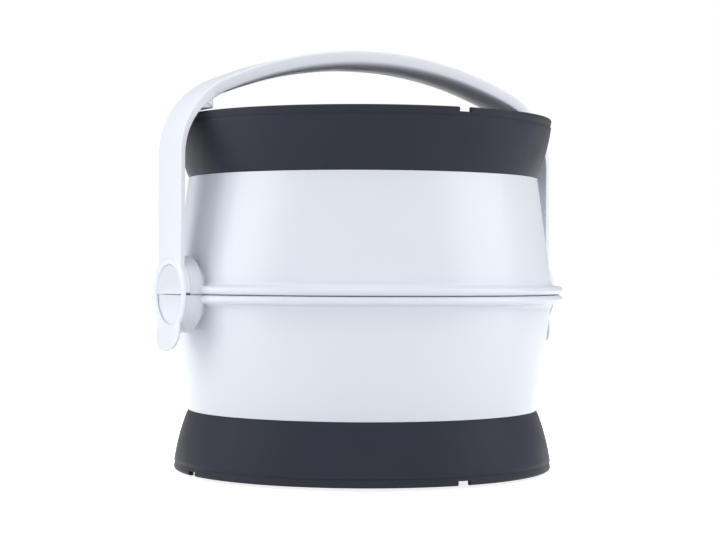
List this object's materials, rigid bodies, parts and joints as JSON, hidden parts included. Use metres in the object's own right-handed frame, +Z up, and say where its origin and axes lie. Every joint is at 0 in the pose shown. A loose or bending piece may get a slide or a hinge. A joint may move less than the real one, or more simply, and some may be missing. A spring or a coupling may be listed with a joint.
{
  "type": "electric lunch box",
  "caption": "Round electric lunch box: white tapered halves on a rear hinge, dark flared rings, a bail handle on split bosses, a heated well, a bowl and a tray.",
  "frame": {"origin": "on the table, under the centre of the round body", "axes": "+X along the handle's axis, -Y the front, +Z up; the lid's hinge is at the back"},
  "size_m": [0.194, 0.1813, 0.1862],
  "materials": {
    "white_shell": "satin white moulding",
    "dark_ring": "fine matt charcoal moulding",
    "drawn_steel": "bright drawn stainless steel",
    "zinc_steel": "plain zinc-plated steel",
    "element_sheath": "heat-tinted tube",
    "cast_alloy": "as cast",
    "black_plastic": "fine matt",
    "ceramic": "plain off-white",
    "contact_brass": "bright",
    "silicone": "matt grey",
    "foot_rubber": "matt black",
    "lead_sleeve": "matt red",
    "clear_cover": "clear satin"
  },
  "bodies": {
    "base": {"base_shell": "white_shell", "base_ring": "dark_ring", "bottom_cover": "dark_ring", "rubber_feet": "foot_rubber", "bottom_screws": "zinc_steel", "heating_well": "drawn_steel", "well_screws": "zinc_steel", "heating_plate": "cast_alloy", "heating_element": "element_sheath", "thermostat": "black_plastic", "thermal_fuse": "ceramic", "heat_shield": "zinc_steel", "shield_screws": "zinc_steel", "power_inlet": "black_plastic", "inlet_pins": "contact_brass", "inlet_screws": "zinc_steel", "inner_leads": "lead_sleeve", "seam_gasket": "silicone", "hinge_pin": "zinc_steel", "food_bowl": "drawn_steel", "bowl_cover": "clear_cover", "bowl_gasket": "silicone", "bowl_vent": "silicone", "food_tray": "drawn_steel", "tray_cover": "clear_cover", "tray_gasket": "silicone", "tray_vent": "silicone"},
    "lid": {"lid_shell": "white_shell", "lid_ring": "dark_ring", "lid_panel": "dark_ring", "lid_liner": "drawn_steel", "liner_screws": "zinc_steel"},
    "handle": {"handle": "white_shell"}
  },
  "joints": [
    {"name": "lid_hinge", "type": "hinge", "parent": "base", "child": "lid", "pos_m": [0, 0.0888, 0.0789], "axis": [-1, 0, 0], "range_deg": [0, 100]},
    {"name": "handle_rock", "type": "hinge", "parent": "lid", "child": "handle", "pos_m": [0, 0, 0.0789], "axis": [1, 0, 0], "range_deg": [-3, 3]}
  ]
}
